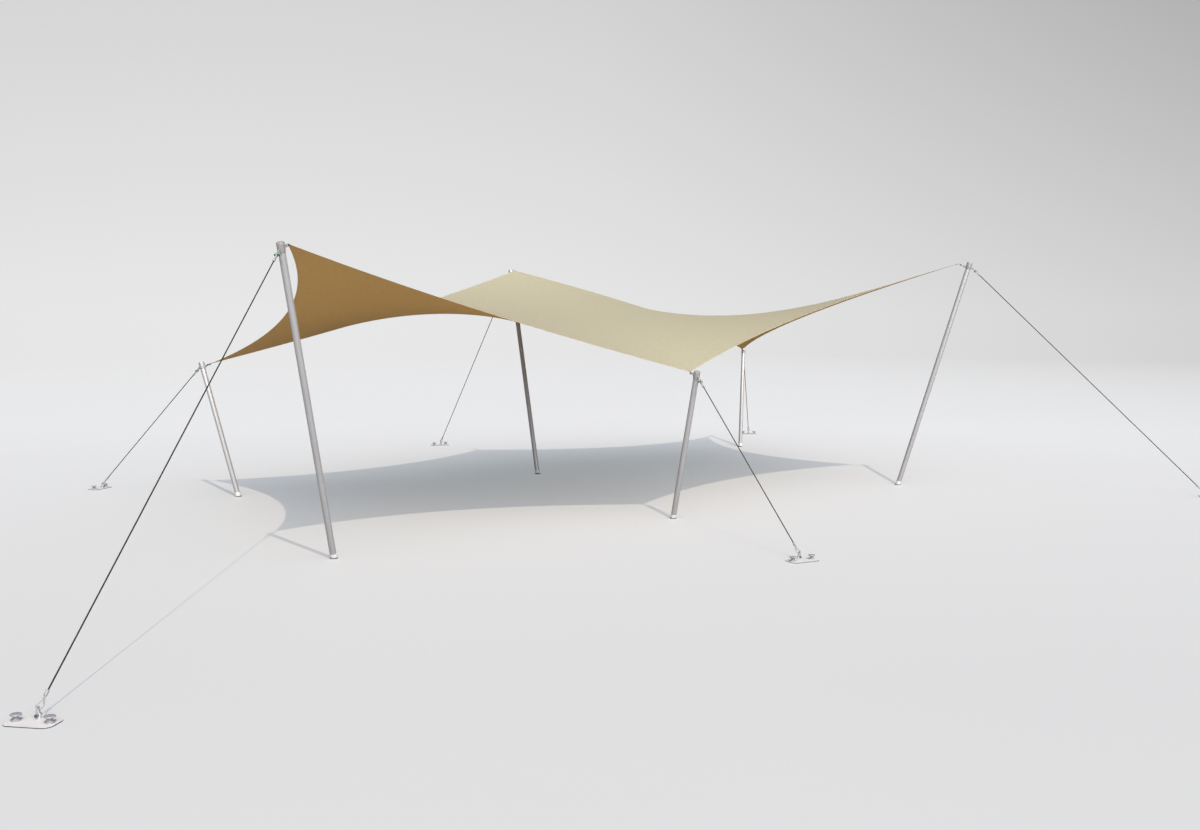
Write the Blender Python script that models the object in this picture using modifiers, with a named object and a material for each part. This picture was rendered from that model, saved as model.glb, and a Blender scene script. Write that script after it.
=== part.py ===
"""Six-cornered stretch tent.

A saddle-shaped canopy hangs between six poles that lean outwards, tall and short by turns.
A taut guy rope stays the head of each pole to a pegged plate on the ground.
The front is the side at -Y, left is at -X, and the ground is at z = 0.
"""

import math

import bmesh
import bpy
import numpy as np
from mathutils import Matrix, Vector

# Poles, in metres: the lengths run along the pole, from the ground to the top of the head
TALL_POLE = 3.50
SHORT_POLE = 2.00
POLE_RADIUS = 0.035
POLE_WALL = 0.003

# One row a corner, in order round the canopy: name, pole length, foot x, foot y,
# heading of the lean in degrees, lean from upright in degrees, foot to anchor eye
CORNERS = (
    ("front_left", TALL_POLE, -4.47, -2.54, -136.0, 19.5, 5.04),
    ("front_middle", SHORT_POLE, 0.03, -2.88, -101.5, 17.0, 2.77),
    ("front_right", TALL_POLE, 4.68, -2.73, -53.5, 16.0, 4.24),
    ("back_right", SHORT_POLE, 6.28, 2.40, 42.0, 18.5, 2.44),
    ("back_middle", TALL_POLE, 0.94, 1.58, 80.5, 17.5, 4.63),
    ("back_left", SHORT_POLE, -3.79, 2.23, 124.5, 16.5, 2.39),
)

# Canopy edges, each from the corner of its row to the next one
EDGE_HOLLOWS = (0.56, 0.58, 0.73, 0.80, 0.69, 0.50)  # how far the middle curves inwards
EDGE_LIFTS = (0.03, -0.03, -0.10, -0.05, 0.02, -0.01)  # how far it rises above a straight line
CANOPY_THICKNESS = 0.002
CANOPY_ROWS_ALONG = 20
CANOPY_ROWS_ACROSS = 12
PULL_ALONG = 0.7  # tension along the tent, with the tension across it as 1
RELAXING_STEPS = 1500
TIP_REACH = 0.160  # pole axis to canopy tip, square to the pole
TIP_LIFT = 0.010  # lug hole up to the canopy tip, along the pole

# Pole head: a cap over the tube with a lug on either side
FIT_GAP = 0.0003
CAP_RADIUS = 0.0395
CAP_LENGTH = 0.094
CAP_TOP = 0.008
LUG_DROP = 0.072  # head top to lug hole, along the pole
LUG_REACH = 0.060  # pole axis to lug hole
LUG_RADIUS = 0.017
LUG_THICKNESS = 0.008
LUG_HOLE = 0.008

# Foot: a socket under the tube on a round sole
SOCKET_RADIUS = 0.0385
SOLE_RADIUS = 0.043
SOLE_THICKNESS = 0.010
SOCKET_TOP = 0.060
SOCKET_FLOOR = 0.026

# Shackles: a bent rod closed by a pin
ROD_RADIUS = 0.005
BOW_RADIUS = 0.016
LEG_LENGTH = 0.038
PIN_RADIUS = 0.006
PIN_OVERHANG = 0.007
EAR_RADIUS = 0.010

# Guy ropes, with an eye and a ferrule at both ends
ROPE_RADIUS = 0.006
UPPER_EYE_RADIUS = 0.016
UPPER_EYE_NECK = 0.055  # eye centre to the ferrule
LOWER_EYE_RADIUS = 0.024
LOWER_EYE_NECK = 0.072
FERRULE_RADIUS = 0.012
FERRULE_LENGTH = 0.042

# Webbing loops that tie the canopy tips to the pins of their shackles
LOOP_WALL = 0.0025
LOOP_WIDTH = 0.018
LOOP_END = 0.007

# Ground anchors: a rounded plate with an upright eye and two spool-headed pegs
PLATE_LENGTH = 0.35
PLATE_DEPTH = 0.20
PLATE_THICKNESS = 0.008
PLATE_CORNER = 0.060
EYE_HEIGHT = 0.030
EYE_OFFSET = 0.055  # from the eye out to the line of pegs
PEG_SPACING = 0.240
PEG_PROFILE = ((0.0, 0.056), (0.033, 0.054), (0.039, 0.047), (0.019, 0.035),
               (0.018, 0.022), (0.033, 0.013), (0.030, 0.004), (0.0, 0.004))

ROUND_SIDES = 20
SMALL_SIDES = 8
HOLE_SIDES = 12
SMOOTH_ANGLE = math.radians(35)


def bow_bend(width):
    """How far the inside of a shackle's bow bends away over a width."""
    inside = BOW_RADIUS - ROD_RADIUS
    return inside - math.sqrt(inside ** 2 - (width / 2) ** 2)


# Where a bow or a pin bears in a lug hole, and where an eye bears on a pin or in a bow
BOW_IN_HOLE = LUG_HOLE - ROD_RADIUS - FIT_GAP - bow_bend(LUG_THICKNESS)
PIN_IN_HOLE = LUG_HOLE - PIN_RADIUS - FIT_GAP
EYE_ON_PIN = PIN_RADIUS + ROD_RADIUS + FIT_GAP
EYE_IN_BOW = BOW_RADIUS - 2 * ROD_RADIUS - FIT_GAP
PIN_SPAN = BOW_IN_HOLE + LEG_LENGTH + BOW_RADIUS  # lug hole to shackle pin
TIP_SPAN = math.hypot(TIP_REACH - LUG_REACH, TIP_LIFT)  # lug hole to canopy tip
TIP_ANGLE = math.atan2(TIP_LIFT, TIP_REACH - LUG_REACH)


def clear_scene():
    for thing in list(bpy.data.objects):
        bpy.data.objects.remove(thing, do_unlink=True)


def new_collection(name):
    collection = bpy.data.collections.new(name)
    bpy.context.scene.collection.children.link(collection)
    return collection


def material(name, colour, roughness, metallic):
    made = bpy.data.materials.new(name)
    made.use_nodes = True
    shader = made.node_tree.nodes["Principled BSDF"]
    shader.inputs["Base Color"].default_value = (*colour, 1.0)
    shader.inputs["Roughness"].default_value = roughness
    shader.inputs["Metallic"].default_value = metallic
    return made


def put(name, data, parent=None, location=(0, 0, 0), rotation=(0, 0, 0)):
    """A named object in the tent's collection."""
    made = bpy.data.objects.new(name, data)
    tent.objects.link(made)
    made.parent = parent
    made.location = location
    made.rotation_euler = rotation
    return made


def evaluated_mesh(source):
    """The mesh of an object as its modifiers leave it, in its own frame, with loose caps welded."""
    bpy.context.view_layer.update()
    graph = bpy.context.evaluated_depsgraph_get()
    mesh = bpy.data.meshes.new_from_object(source.evaluated_get(graph))
    work = bmesh.new()
    work.from_mesh(mesh)
    bmesh.ops.remove_doubles(work, verts=work.verts, dist=1e-6)
    work.to_mesh(mesh)
    work.free()
    return mesh


def settled(source):
    """Replaces a working object by its evaluated mesh."""
    mesh = evaluated_mesh(source)
    bpy.data.objects.remove(source, do_unlink=True)
    return mesh


def rod(start, end, radius, sides=SMALL_SIDES):
    """A straight cylinder between two points, as a mesh."""
    start = Vector(start)
    line = Vector(end) - start
    turn = line.to_track_quat("Z", "Y").to_matrix().to_4x4()
    place = Matrix.Translation(start + line / 2) @ turn
    work = bmesh.new()
    bmesh.ops.create_cone(work, cap_ends=True, segments=sides, radius1=radius, radius2=radius,
                          depth=line.length, matrix=place)
    mesh = bpy.data.meshes.new("rod")
    work.to_mesh(mesh)
    work.free()
    return mesh


def turned(profile, sides=ROUND_SIDES, closed=False):
    """A profile of (radius, height) points, listed down its outer side, spun about Z."""
    mesh = bpy.data.meshes.new("profile")
    edges = [(i, i + 1) for i in range(len(profile) - 1)]
    if closed:
        edges.append((len(profile) - 1, 0))
    mesh.from_pydata([(radius, 0.0, height) for radius, height in profile], edges, [])
    working = put("turning", mesh)
    screw = working.modifiers.new("Screw", "SCREW")
    screw.steps = sides
    screw.render_steps = sides
    screw.use_merge_vertices = True
    screw.merge_threshold = 1e-5
    return settled(working)


def bent_rod(points, radius):
    """A round rod that follows a list of points."""
    curve = bpy.data.curves.new("path", "CURVE")
    curve.dimensions = "3D"
    spline = curve.splines.new("POLY")
    spline.points.add(len(points) - 1)
    for point, place in zip(spline.points, points):
        point.co = (*place, 1.0)
    curve.bevel_depth = radius
    curve.bevel_resolution = 2
    curve.use_fill_caps = True
    return settled(put("bending", curve))


def flat_shape(outlines, thickness):
    """A flat piece in the XY plane, centred on z = 0: the first outline less the others."""
    curve = bpy.data.curves.new("outline", "CURVE")
    curve.dimensions = "2D"
    curve.fill_mode = "BOTH"
    curve.extrude = thickness / 2
    for outline in outlines:
        spline = curve.splines.new("POLY")
        spline.points.add(len(outline) - 1)
        for point, (x, y) in zip(spline.points, outline):
            point.co = (x, y, 0.0, 1.0)
        spline.use_cyclic_u = True
    return settled(put("cutting", curve))


def arc(centre, radius, start, end, steps):
    """Points along an arc, with angles in degrees."""
    angles = np.radians(np.linspace(start, end, steps + 1))
    return [(centre[0] + radius * math.cos(a), centre[1] + radius * math.sin(a)) for a in angles]


def ring(centre, radius, sides=HOLE_SIDES):
    """A hole whose flats are at the radius."""
    return arc(centre, radius / math.cos(math.pi / sides), 0, 360, sides)[:-1]


def joined(meshes, cuts=()):
    """One closed solid from overlapping meshes, less the cuts."""
    body = put("body", meshes[0])
    tools = [put("tool", mesh) for mesh in (*meshes[1:], *cuts)]
    for number, tool in enumerate(tools):
        boolean = body.modifiers.new("Boolean", "BOOLEAN")
        boolean.solver = "EXACT"
        boolean.operation = "UNION" if number < len(meshes) - 1 else "DIFFERENCE"
        boolean.object = tool
    mesh = settled(body)
    for tool in tools:
        bpy.data.objects.remove(tool, do_unlink=True)
    return mesh


def moved(mesh, matrix):
    mesh.transform(matrix)
    return mesh


def finished(mesh, look):
    """Gives a mesh its material and its shading."""
    mesh.materials.clear()
    mesh.materials.append(look)
    mesh.shade_smooth()
    mesh.set_sharp_from_angle(angle=SMOOTH_ANGLE)
    return mesh


def lug_outline(reach):
    """A tab that runs from x = 0 to a round end about its hole at x = reach."""
    return [(0.0, -LUG_RADIUS), *arc((reach, 0.0), LUG_RADIUS, -90, 90, 6), (0.0, LUG_RADIUS)]


def head_mesh():
    """The cap of a pole, with its top at z = 0, the guy lug at +X and the canopy lug at -X."""
    inner = POLE_RADIUS + FIT_GAP
    cap = turned([(0.0, 0.0), (CAP_RADIUS - 0.003, 0.0), (CAP_RADIUS, -0.003),
                  (CAP_RADIUS, -CAP_LENGTH), (inner, -CAP_LENGTH), (inner, -CAP_TOP), (0.0, -CAP_TOP)])
    stand_off = CAP_RADIUS - 0.002
    lugs = []
    for turn in (0.0, math.pi):
        hole = ring((LUG_REACH - stand_off, 0.0), LUG_HOLE)
        lug = flat_shape([lug_outline(LUG_REACH - stand_off), hole], LUG_THICKNESS)
        stand = Matrix.Rotation(math.pi / 2, 4, "X")
        out = Matrix.Translation((stand_off, 0.0, -LUG_DROP))
        lugs.append(moved(lug, Matrix.Rotation(turn, 4, "Z") @ out @ stand))
    return joined([cap, *lugs])


def tube_mesh(length):
    """The tube of a pole, from the floor of its foot to the underside of its cap."""
    inner = POLE_RADIUS - POLE_WALL
    bottom = SOCKET_FLOOR + FIT_GAP
    top = length - CAP_TOP - FIT_GAP
    return turned([(POLE_RADIUS, top), (POLE_RADIUS, bottom), (inner, bottom), (inner, top)], closed=True)


def foot_mesh(lean):
    """A socket tilted with its pole on a flat round sole."""
    inner = POLE_RADIUS + FIT_GAP
    below = -0.03
    socket = turned([(0.0, SOCKET_FLOOR), (inner, SOCKET_FLOOR), (inner, SOCKET_TOP),
                     (SOCKET_RADIUS, SOCKET_TOP), (SOCKET_RADIUS, below), (0.0, below)])
    moved(socket, Matrix.Rotation(lean, 4, "Y"))
    sole = rod((0, 0, 0), (0, 0, SOLE_THICKNESS), SOLE_RADIUS, ROUND_SIDES)
    ground = rod((0, 0, -0.1), (0, 0, 0), 0.1, 8)
    return joined([sole, socket], cuts=[ground])


def shackle_mesh():
    """A shackle with its pin along Y through the origin and its bow towards +Z."""
    bow = [(0.0, y, z) for y, z in arc((0.0, LEG_LENGTH), BOW_RADIUS, 0, 180, 6)]
    path = [(0.0, BOW_RADIUS, 0.0), *bow, (0.0, -BOW_RADIUS, 0.0)]
    pieces = [bent_rod(path, ROD_RADIUS)]
    for side in (-BOW_RADIUS, BOW_RADIUS):
        pieces.append(rod((0, side - ROD_RADIUS, 0), (0, side + ROD_RADIUS, 0), EAR_RADIUS))
    end = BOW_RADIUS + PIN_OVERHANG
    pieces.append(rod((0, -end, 0), (0, end, 0), PIN_RADIUS))
    return joined(pieces)


def eye_mesh(radius, neck):
    """A rope eye in the XZ plane: round about the origin, with its two legs side by side at the
    height of its neck."""
    leg = ROD_RADIUS + FIT_GAP
    points = [(leg, neck + 0.012), (leg, neck)]
    points += arc((0.0, 0.0), radius, 30, -210, 8)
    points += [(-leg, neck), (-leg, neck + 0.012)]
    return bent_rod([(x, 0.0, z) for x, z in points], ROD_RADIUS)


def rope_mesh(span):
    """A guy rope along Z, from the bow of its anchor shackle at z = 0 to its lug hole at z = span.
    The upper eye turns about Y, and the lower eye about X."""
    low = EYE_IN_BOW + LOWER_EYE_RADIUS
    high = span - PIN_SPAN + EYE_ON_PIN - UPPER_EYE_RADIUS
    lower = eye_mesh(LOWER_EYE_RADIUS, LOWER_EYE_NECK)
    upper = eye_mesh(UPPER_EYE_RADIUS, UPPER_EYE_NECK)
    moved(lower, Matrix.Translation((0, 0, low)) @ Matrix.Rotation(math.pi / 2, 4, "Z"))
    moved(upper, Matrix.Translation((0, 0, high)) @ Matrix.Rotation(math.pi, 4, "Y"))
    start = low + LOWER_EYE_NECK
    end = high - UPPER_EYE_NECK
    ferrules = [rod((0, 0, start), (0, 0, start + FERRULE_LENGTH), FERRULE_RADIUS),
                rod((0, 0, end - FERRULE_LENGTH), (0, 0, end), FERRULE_RADIUS)]
    line = rod((0, 0, start + 0.02), (0, 0, end - 0.02), ROPE_RADIUS)
    return joined([line, *ferrules, lower, upper])


def plate_outline():
    """A rectangle with round corners, long in Y."""
    outline = []
    for turn, x, y in ((0, 1, 1), (90, -1, 1), (180, -1, -1), (270, 1, -1)):
        centre = (x * (PLATE_DEPTH / 2 - PLATE_CORNER), y * (PLATE_LENGTH / 2 - PLATE_CORNER))
        outline += arc(centre, PLATE_CORNER, turn, turn + 90, 3)
    return outline


def anchor_mesh():
    """A ground anchor with its eye above the origin, and the pegs further out."""
    plate = flat_shape([plate_outline()], PLATE_THICKNESS)
    moved(plate, Matrix.Translation((EYE_OFFSET, 0, PLATE_THICKNESS / 2)))
    rise = EYE_HEIGHT - PLATE_THICKNESS / 2
    eye = flat_shape([lug_outline(rise), ring((rise, 0.0), LUG_HOLE)], LUG_THICKNESS)
    moved(eye, Matrix.Translation((0, 0, PLATE_THICKNESS / 2)) @ Matrix.Rotation(-math.pi / 2, 4, "Y"))
    pegs = []
    for side in (-0.5, 0.5):
        peg = turned(PEG_PROFILE, 12)
        pegs.append(moved(peg, Matrix.Translation((EYE_OFFSET, side * PEG_SPACING, 0))))
    return joined([plate, eye, *pegs])


def loop_mesh():
    """A webbing loop about the pin of a canopy shackle, with the pin along Y through the origin
    and the canopy tip towards +X."""
    inner = (PIN_RADIUS + FIT_GAP) / math.cos(math.pi / HOLE_SIDES)
    tip = TIP_SPAN - PIN_SPAN + LOOP_END
    outline = arc((0.0, 0.0), inner + LOOP_WALL, 80, 280, 8)
    outline += [(tip, -LOOP_END / 2), (tip, LOOP_END / 2)]
    loop = flat_shape([outline, ring((0.0, 0.0), PIN_RADIUS + FIT_GAP)], LOOP_WIDTH)
    return moved(loop, Matrix.Rotation(math.pi / 2, 4, "X"))


def edge_points(tips, number, steps):
    """Points along one hollow edge of the canopy, between two of its tips."""
    start = tips[number]
    end = tips[(number + 1) % len(tips)]
    along = end - start
    inward = np.array([-along[1], along[0], 0.0]) / math.hypot(along[0], along[1])
    share = np.linspace(0.0, 1.0, steps + 1)[:, None]
    bow = 4 * share * (1 - share)
    lift = np.array([0.0, 0.0, EDGE_LIFTS[number]])
    return start + share * along + bow * (EDGE_HOLLOWS[number] * inward + lift)


def canopy_grid(tips):
    """A grid of points over the canopy, relaxed as a taut net is: each point inside it rests at
    the mean of its four neighbours, weighted by the tension along and across."""
    half = CANOPY_ROWS_ALONG // 2
    grid = np.zeros((CANOPY_ROWS_ALONG + 1, CANOPY_ROWS_ACROSS + 1, 3))
    grid[:half + 1, 0] = edge_points(tips, 0, half)
    grid[half:, 0] = edge_points(tips, 1, half)
    grid[-1, :] = edge_points(tips, 2, CANOPY_ROWS_ACROSS)
    grid[half:, -1] = edge_points(tips, 3, half)[::-1]
    grid[:half + 1, -1] = edge_points(tips, 4, half)[::-1]
    grid[0, :] = edge_points(tips, 5, CANOPY_ROWS_ACROSS)[::-1]
    across = np.linspace(0.0, 1.0, CANOPY_ROWS_ACROSS + 1)[None, 1:-1, None]
    grid[1:-1, 1:-1] = (1 - across) * grid[1:-1, :1] + across * grid[1:-1, -1:]
    for _ in range(RELAXING_STEPS):
        along_sum = grid[:-2, 1:-1] + grid[2:, 1:-1]
        across_sum = grid[1:-1, :-2] + grid[1:-1, 2:]
        grid[1:-1, 1:-1] = (PULL_ALONG * along_sum + across_sum) / (2 * PULL_ALONG + 2)
    return grid


def sheet_mesh(grid):
    """The canopy's cloth, with its thickness to either side of the grid."""
    work = bmesh.new()
    bmesh.ops.create_grid(work, x_segments=CANOPY_ROWS_ALONG, y_segments=CANOPY_ROWS_ACROSS, size=1.0)
    for vertex in work.verts:
        i = round((vertex.co.x + 1) / 2 * CANOPY_ROWS_ALONG)
        j = round((vertex.co.y + 1) / 2 * CANOPY_ROWS_ACROSS)
        vertex.co = grid[i, j]
    mesh = bpy.data.meshes.new("sheet")
    work.to_mesh(mesh)
    work.free()
    working = put("sheet", mesh)
    shell = working.modifiers.new("Solidify", "SOLIDIFY")
    shell.thickness = CANOPY_THICKNESS
    shell.offset = 0.0
    return settled(working)


class Corner:
    """The empties that carry one corner, and the lengths that its pieces share.
    Its own frame has X outwards, Y sideways and Z up from the foot of the pole."""

    def __init__(self, name, length, x, y, heading, lean, guy_reach):
        self.name = name
        self.length = length
        self.lean = math.radians(lean)
        self.guy_reach = guy_reach
        self.ground = put("corner_" + name, None, site, (x, y, 0), (0, 0, math.radians(heading)))
        self.pole = put("pole_axis_" + name, None, self.ground, rotation=(0, self.lean, 0))
        up = Vector((math.sin(self.lean), 0, math.cos(self.lean)))
        out = Vector((math.cos(self.lean), 0, -math.sin(self.lean)))
        head = up * (length - LUG_DROP)
        self.guy_lug = head + out * LUG_REACH
        self.bow_centre = Vector((guy_reach, 0, EYE_HEIGHT + PIN_IN_HOLE + LEG_LENGTH))
        guy = self.bow_centre - self.guy_lug
        self.guy_span = guy.length
        self.guy_down = guy.normalized()
        self.guy_angle = math.atan2(guy.x, -guy.z)
        self.canopy_lug = Vector((-LUG_REACH, 0, length - LUG_DROP))
        self.canopy_line = Vector((-math.cos(TIP_ANGLE), 0, math.sin(TIP_ANGLE)))

    def on_pole(self, distance):
        """A point on the line from the canopy lug to the canopy tip, in the tent's frame."""
        point = self.canopy_lug + self.canopy_line * distance
        return self.ground.matrix_basis @ self.pole.matrix_basis @ point


def build_corner(corner, meshes):
    """Pole, cap, foot, three shackles, guy rope and ground anchor of one corner."""
    name = corner.name
    put("pole_" + name, finished(tube_mesh(corner.length), looks["pole"]), corner.pole)
    put("pole_cap_" + name, meshes["head"], corner.pole, (0, 0, corner.length))
    put("pole_foot_" + name, finished(foot_mesh(corner.lean), looks["foot"]), corner.ground)
    canopy_pin = corner.canopy_lug + corner.canopy_line * PIN_SPAN
    along_canopy = (0, math.pi / 2 + TIP_ANGLE, 0)
    put("canopy_shackle_" + name, meshes["shackle"], corner.pole, canopy_pin, along_canopy)
    guy_pin = corner.guy_lug + corner.guy_down * PIN_SPAN
    along_guy = (0, -corner.guy_angle, 0)
    put("guy_shackle_" + name, meshes["guy_shackle"], corner.ground, guy_pin, along_guy)
    rope = finished(rope_mesh(corner.guy_span), looks["rope"])
    put("guy_rope_" + name, rope, corner.ground, corner.bow_centre, along_guy)
    anchor_pin = corner.bow_centre - Vector((0, 0, LEG_LENGTH))
    put("anchor_shackle_" + name, meshes["shackle"], corner.ground, anchor_pin, (0, 0, math.pi / 2))
    put("ground_anchor_" + name, meshes["anchor"], corner.ground, (corner.guy_reach, 0, 0))


def build_canopy(corners):
    """The cloth with a webbing loop at each tip."""
    bpy.context.view_layer.update()
    sheet = sheet_mesh(canopy_grid([np.array(corner.on_pole(TIP_SPAN)) for corner in corners]))
    loops = []
    for corner in corners:
        turn = Matrix.Rotation(math.pi + TIP_ANGLE, 4, "Y")
        pin = Matrix.Translation(corner.canopy_lug + corner.canopy_line * PIN_SPAN)
        loops.append(moved(loop_mesh(), corner.pole.matrix_world @ pin @ turn))
    put("canopy", finished(joined([sheet, *loops]), looks["cloth"]), site)


def centre_on_origin():
    """Moves the whole tent so that the origin is in the middle of its plan."""
    bpy.context.view_layer.update()
    points = [piece.matrix_world @ Vector(corner) for piece in tent.objects
              if piece.type == "MESH" for corner in piece.bound_box]
    low = [min(point[axis] for point in points) for axis in (0, 1)]
    high = [max(point[axis] for point in points) for axis in (0, 1)]
    site.location = (-(low[0] + high[0]) / 2, -(low[1] + high[1]) / 2, 0)


clear_scene()
tent = new_collection("stretch_tent")
looks = {
    "pole": material("pole_aluminium", (0.52, 0.52, 0.50), 0.42, 0.55),
    "head": material("cap_aluminium", (0.50, 0.50, 0.49), 0.40, 0.60),
    "foot": material("foot_plastic", (0.80, 0.82, 0.82), 0.50, 0.0),
    "steel": material("galvanised_steel", (0.55, 0.56, 0.57), 0.45, 0.70),
    "green_steel": material("green_pin_steel", (0.20, 0.40, 0.24), 0.45, 0.20),
    "rope": material("grey_rope", (0.10, 0.10, 0.095), 0.80, 0.0),
    "anchor": material("anchor_steel", (0.62, 0.62, 0.64), 0.45, 0.50),
    "cloth": material("beige_cloth", (0.60, 0.54, 0.37), 0.85, 0.0),
}
site = put("site", None)
corners = [Corner(*row) for row in CORNERS]
shared = {
    "head": finished(head_mesh(), looks["head"]),
    "shackle": finished(shackle_mesh(), looks["steel"]),
    "guy_shackle": finished(shackle_mesh(), looks["green_steel"]),
    "anchor": finished(anchor_mesh(), looks["anchor"]),
}
for corner in corners:
    build_corner(corner, shared)
build_canopy(corners)
centre_on_origin()
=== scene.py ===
"""Looks of a six-cornered stretch tent: cloth, poles, shackles, guy ropes and ground anchors."""

import math

import bmesh
import bpy
import numpy as np
from mathutils import Matrix, Vector

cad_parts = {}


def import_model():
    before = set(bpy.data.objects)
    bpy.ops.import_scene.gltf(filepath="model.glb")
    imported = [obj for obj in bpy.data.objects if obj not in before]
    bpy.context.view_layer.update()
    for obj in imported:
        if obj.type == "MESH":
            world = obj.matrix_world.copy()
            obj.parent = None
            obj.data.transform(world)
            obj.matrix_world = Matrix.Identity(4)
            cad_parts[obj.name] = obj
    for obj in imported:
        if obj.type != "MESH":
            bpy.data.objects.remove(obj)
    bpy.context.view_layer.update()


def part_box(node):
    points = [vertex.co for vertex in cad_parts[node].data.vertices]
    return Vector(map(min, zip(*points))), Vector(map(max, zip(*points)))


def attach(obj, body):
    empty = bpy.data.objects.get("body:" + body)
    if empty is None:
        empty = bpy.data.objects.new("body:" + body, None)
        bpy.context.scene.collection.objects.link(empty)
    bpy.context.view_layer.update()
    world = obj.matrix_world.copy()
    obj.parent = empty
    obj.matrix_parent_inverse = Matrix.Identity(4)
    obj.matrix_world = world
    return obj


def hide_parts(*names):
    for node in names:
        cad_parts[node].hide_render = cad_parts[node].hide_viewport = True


# Sizes of the tent in metres. The shackle pins and the webbing differ from those of the solids,
# and the other pieces that the solids have too are as large as there
TALL_POLE = 3.50
SHORT_POLE = 2.00
POLE_RADIUS = 0.035
POLE_WALL = 0.003

# One row a corner, in order round the canopy: name, pole length, foot x, foot y,
# heading of the lean in degrees, lean from upright in degrees, foot to anchor eye
CORNERS = (
    ("front_left", TALL_POLE, -4.47, -2.54, -136.0, 19.5, 5.04),
    ("front_middle", SHORT_POLE, 0.03, -2.88, -101.5, 17.0, 2.77),
    ("front_right", TALL_POLE, 4.68, -2.73, -53.5, 16.0, 4.24),
    ("back_right", SHORT_POLE, 6.28, 2.40, 42.0, 18.5, 2.44),
    ("back_middle", TALL_POLE, 0.94, 1.58, 80.5, 17.5, 4.63),
    ("back_left", SHORT_POLE, -3.79, 2.23, 124.5, 16.5, 2.39),
)

# Canopy edges, each from the corner of its row to the next one
EDGE_HOLLOWS = (0.56, 0.58, 0.73, 0.80, 0.69, 0.50)  # how far the middle curves inwards
EDGE_LIFTS = (0.03, -0.03, -0.10, -0.05, 0.02, -0.01)  # how far it rises above a straight line
CLOTH_THICKNESS = 0.002
CLOTH_COLUMNS = 80
CLOTH_ROWS = 48
CLOTH_STEPS = 3000
CLOTH_FACES = 2  # the top and the underside
PULL_ALONG = 0.7  # tension along the tent, with the tension across it as 1
TIP_REACH = 0.160
TIP_LIFT = 0.010
HEM_WIDTH = 0.030
HEM_MITRE = 0.28  # how fast the hem widens away from a tip
HEM_RISE = 0.0006  # how far the hem stands above the cloth
STITCH_PITCH = 0.012

FIT_GAP = 0.0003
CAP_RADIUS = 0.0395
CAP_LENGTH = 0.094
CAP_TOP = 0.008
LUG_DROP = 0.072
LUG_REACH = 0.060
LUG_RADIUS = 0.017
LUG_THICKNESS = 0.008
LUG_HOLE = 0.008

SOCKET_RADIUS = 0.0385
SOLE_RADIUS = 0.043
SOLE_THICKNESS = 0.010
SOCKET_TOP = 0.060
SOCKET_FLOOR = 0.026

ROD_RADIUS = 0.005
BOW_RADIUS = 0.016
LEG_LENGTH = 0.038
PIN_RADIUS = 0.006
PIN_OVERHANG = 0.006  # how far the pin stands out past the ear, through its nut
HEAD_RADIUS = 0.0115
HEAD_DEPTH = 0.0055
NUT_RADIUS = 0.0110
NUT_DEPTH = 0.0048
EAR_RADIUS = 0.010

ROPE_RADIUS = 0.006
ROPE_STRANDS = 6
ROPE_LAY = 0.050  # length along the rope of one turn of a strand
UPPER_EYE_RADIUS = 0.016
UPPER_EYE_NECK = 0.055
LOWER_EYE_RADIUS = 0.024
LOWER_EYE_NECK = 0.072
FERRULE_RADIUS = 0.012
FERRULE_LENGTH = 0.042

WEBBING_THICKNESS = 0.0022
WEBBING_WIDTH = 0.020
WEBBING_LAP = 0.045  # how far the strap runs over the cloth
WEBBING_SECTION = ((1.0, 0.6), (0.86, 1.0), (-0.86, 1.0), (-1.0, 0.6),
                   (-1.0, -0.6), (-0.86, -1.0), (0.86, -1.0), (1.0, -0.6))

PLATE_LENGTH = 0.35
PLATE_DEPTH = 0.20
PLATE_THICKNESS = 0.008
PLATE_CORNER = 0.060
EYE_HEIGHT = 0.030
EYE_OFFSET = 0.055
PEG_SPACING = 0.240
PEG_PROFILE = ((0.0, 0.004), (0.030, 0.004), (0.033, 0.013), (0.018, 0.022),
               (0.019, 0.035), (0.039, 0.047), (0.033, 0.054), (0.0, 0.056))

# Where a bow or a pin bears in a lug hole, and where an eye bears on a pin or in a bow
BOW_INSIDE = BOW_RADIUS - ROD_RADIUS
LUG_BEND = BOW_INSIDE - math.sqrt(BOW_INSIDE ** 2 - (LUG_THICKNESS / 2) ** 2)
BOW_IN_HOLE = LUG_HOLE - ROD_RADIUS - FIT_GAP - LUG_BEND
PIN_IN_HOLE = LUG_HOLE - PIN_RADIUS - FIT_GAP
EYE_ON_PIN = PIN_RADIUS + ROD_RADIUS + FIT_GAP
EYE_IN_BOW = BOW_RADIUS - 2 * ROD_RADIUS - FIT_GAP
PIN_SPAN = BOW_IN_HOLE + LEG_LENGTH + BOW_RADIUS
TIP_SPAN = math.hypot(TIP_REACH - LUG_REACH, TIP_LIFT)
TIP_ANGLE = math.atan2(TIP_LIFT, TIP_REACH - LUG_REACH)

ROUND_SIDES = 48
ROD_SIDES = 16

# Camera and light
LENS = 35.0
CAMERA_PLACE = (-9.6185, -14.1073, 2.6414)
CAMERA_PITCH = -5.0646
CAMERA_HEADING = -37.0
SUN_HEIGHT = 50.65
SUN_HEADING = -17.4
SUN_STRENGTH = 2.30
SUN_TINT = (1.0, 0.87, 0.70)
SKY_LOW = (0.10, 0.11, 0.14, 1.0)
SKY_HIGH = (3.77, 3.72, 4.03, 1.0)
SKY_GATHERING = 4.0  # how closely the sky's light gathers round its middle
SKY_LEAN = 50.0  # how far the middle of that light is from upright, towards the sun
FLOOR_RADIUS = 55.0
FLOOR_CLEAR = 12.0  # where the floor starts to fade
FLOOR_TINT = (0.40, 0.40, 0.40)
FLOOR_BOUNCE = 0.70  # the share of that tint in the light that the floor throws on the tent
NEAR_GLOW = (0.183, 0.212, 0.222, 1.0)  # the floor's own light, which only the camera sees
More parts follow.
